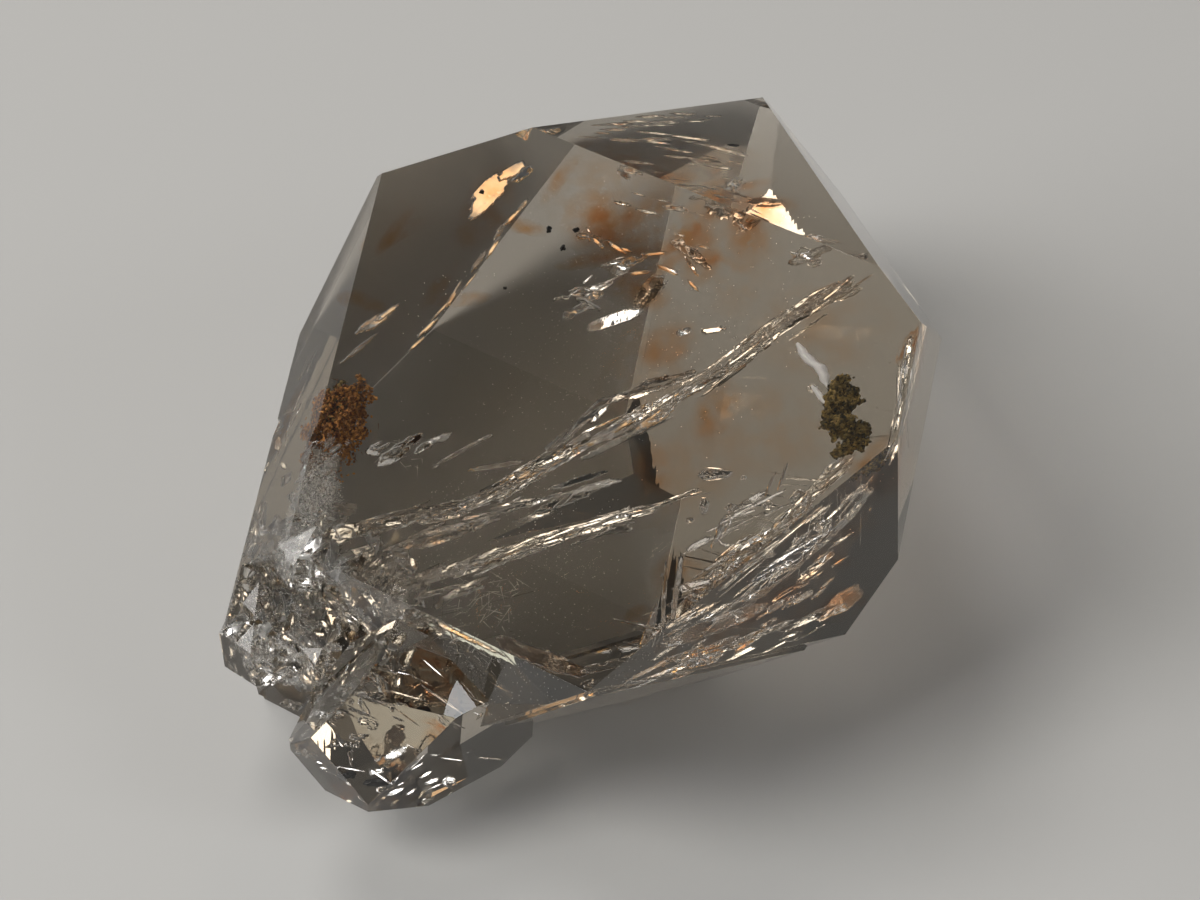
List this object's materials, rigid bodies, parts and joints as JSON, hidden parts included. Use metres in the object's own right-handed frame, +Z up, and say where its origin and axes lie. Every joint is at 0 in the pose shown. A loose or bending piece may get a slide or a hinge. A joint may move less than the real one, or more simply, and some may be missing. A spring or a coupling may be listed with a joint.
{
  "type": "herkimer diamond quartz crystal",
  "caption": "Smoky, glassy, doubly terminated quartz crystal with flat growth faces and a smaller crystal grown into one corner, lying on a small flat face.",
  "frame": {"origin": "centre of the bounding box at the bottom, on the surface that the crystal lies on", "axes": "+Z up from the small flat face that it rests on, +Y along its longest side, -Y towards a viewer who sees the broad clear face, +X to that viewer's right"},
  "size_m": [0.033, 0.0374, 0.0208],
  "materials": {
    "quartz": "polished",
    "healed_fracture": "gloss",
    "fluid_bubble": "polished",
    "rust_stain": "matte",
    "dark_clay": "matte",
    "black_speck": "satin",
    "milky_dust": "matte"
  },
  "bodies": {
    "root": {"crystal": "quartz"}
  },
  "joints": []
}
